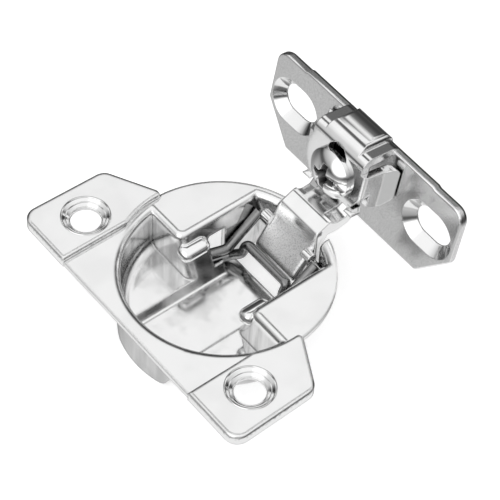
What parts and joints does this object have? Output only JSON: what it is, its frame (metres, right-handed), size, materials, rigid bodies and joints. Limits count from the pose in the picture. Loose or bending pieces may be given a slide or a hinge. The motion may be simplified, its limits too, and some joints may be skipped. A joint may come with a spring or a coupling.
{
  "type": "concealed cup hinge",
  "caption": "Concealed cup hinge for a 35 mm bore, with a short cranked arm and a folded plate for the front edge of a cabinet frame.",
  "frame": {"origin": "on the axis of the cup, in the plane of the door's inner face, where the cup's flange rests", "axes": "+Z out of the door's inner face, +X from the cup towards the arm, +Y along the door's edge; drawn fully open"},
  "size_m": [0.0502, 0.0548, 0.0269],
  "materials": {
    "plated_pressing": "bright nickel plate",
    "plated_pin": "plain steel",
    "spring_wire": "oiled spring steel",
    "plated_arm": "satin nickel plate",
    "plated_plate": "bright nickel plate",
    "plated_screw": "bright nickel plate"
  },
  "bodies": {
    "cup_body": {"cup": "plated_pressing", "pivot_pin": "plated_pin", "closing_spring": "spring_wire"},
    "arm_body": {"hinge_arm": "plated_arm"},
    "plate_body": {"mounting_plate": "plated_plate"},
    "screw_body": {"adjusting_screw": "plated_screw"}
  },
  "joints": [
    {"name": "arm_hinge", "type": "hinge", "parent": "cup_body", "child": "arm_body", "pos_m": [0.01445, 0, -0.00395], "axis": [0, -1, 0], "range_deg": [0, 98.77], "deforming": ["closing_spring"]},
    {"name": "plate_slide", "type": "slide", "parent": "arm_body", "child": "plate_body", "axis": [0.1525, 0, 0.9883], "range_m": [-0.0006, 0.0011]},
    {"name": "screw_turn", "type": "hinge", "parent": "arm_body", "child": "screw_body", "pos_m": [0.02341, 0, 0.009], "axis": [-0.9883, 0, 0.1525], "continuous": true}
  ]
}
